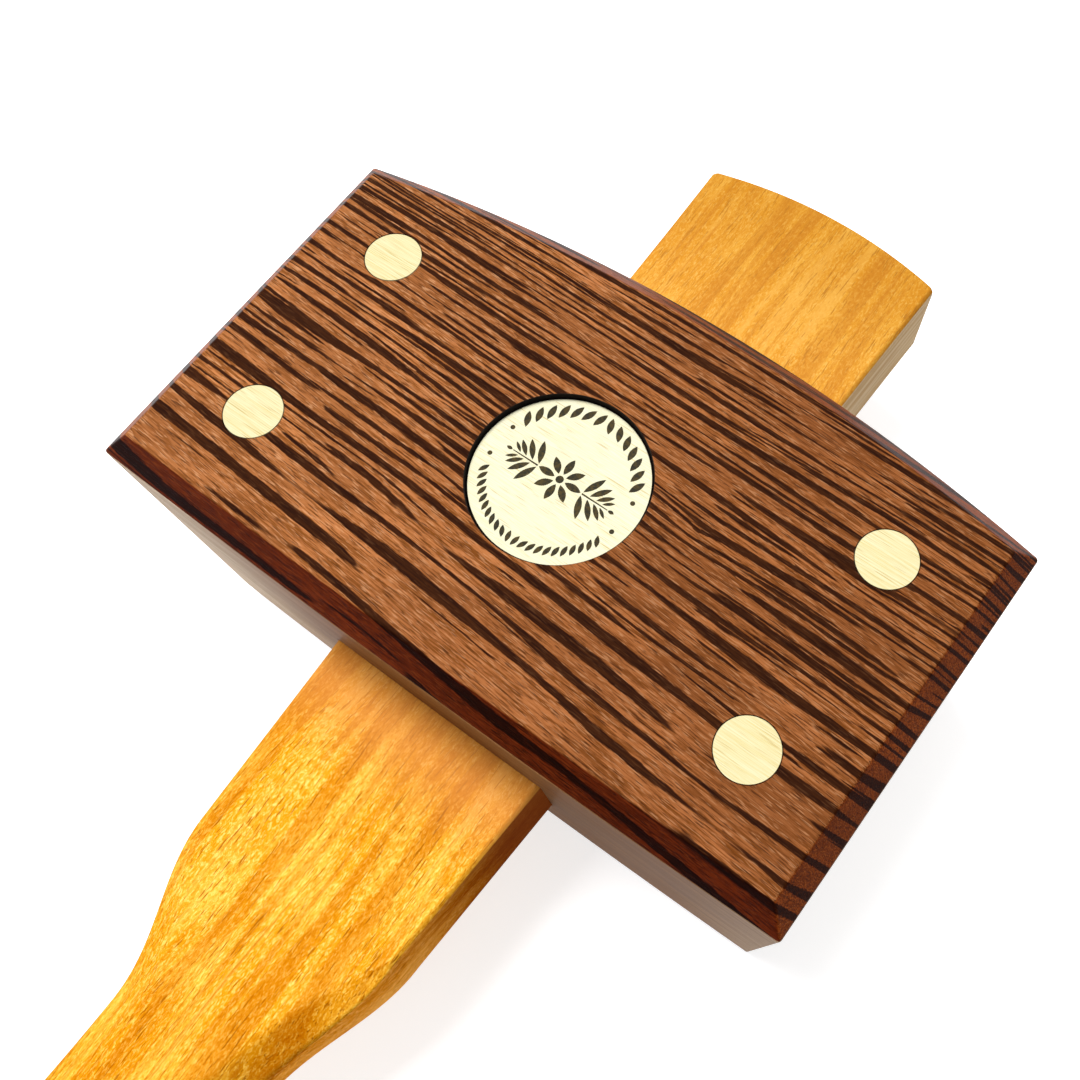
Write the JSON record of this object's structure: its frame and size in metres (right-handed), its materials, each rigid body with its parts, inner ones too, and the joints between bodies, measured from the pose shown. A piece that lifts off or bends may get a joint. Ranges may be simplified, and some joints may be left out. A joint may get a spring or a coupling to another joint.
{
  "type": "joiner's mallet",
  "caption": "Wooden joiner's mallet: mortised head with striped cheeks, brass pins and inlaid disc, on a wedge-shaped handle that drops in from above.",
  "frame": {"origin": "under the middle of the handle's length, in the plane that the mallet rests on when it lies on its back cheek", "axes": "+X along the head to one striking face, +Y up the handle to its wide top end, +Z out of the front cheek"},
  "size_m": [0.1302, 0.3, 0.0657],
  "materials": {
    "striped_timber": "satin oil, dark brown stripes along the head",
    "core_timber": "satin oil, pale close grain",
    "honey_timber": "satin varnish, figured golden grain",
    "brass": "sanded flush with fine straight lines"
  },
  "bodies": {
    "head": {"core": "core_timber", "front_cheek": "striped_timber", "back_cheek": "striped_timber", "pin_top_left": "brass", "pin_top_right": "brass", "pin_bottom_left": "brass", "pin_bottom_right": "brass", "medallion": "brass"},
    "handle": {"handle": "honey_timber"}
  },
  "joints": [
    {"name": "handle_slide", "type": "slide", "parent": "head", "child": "handle", "axis": [0, 1, 0], "range_m": [0, 0.26]}
  ]
}
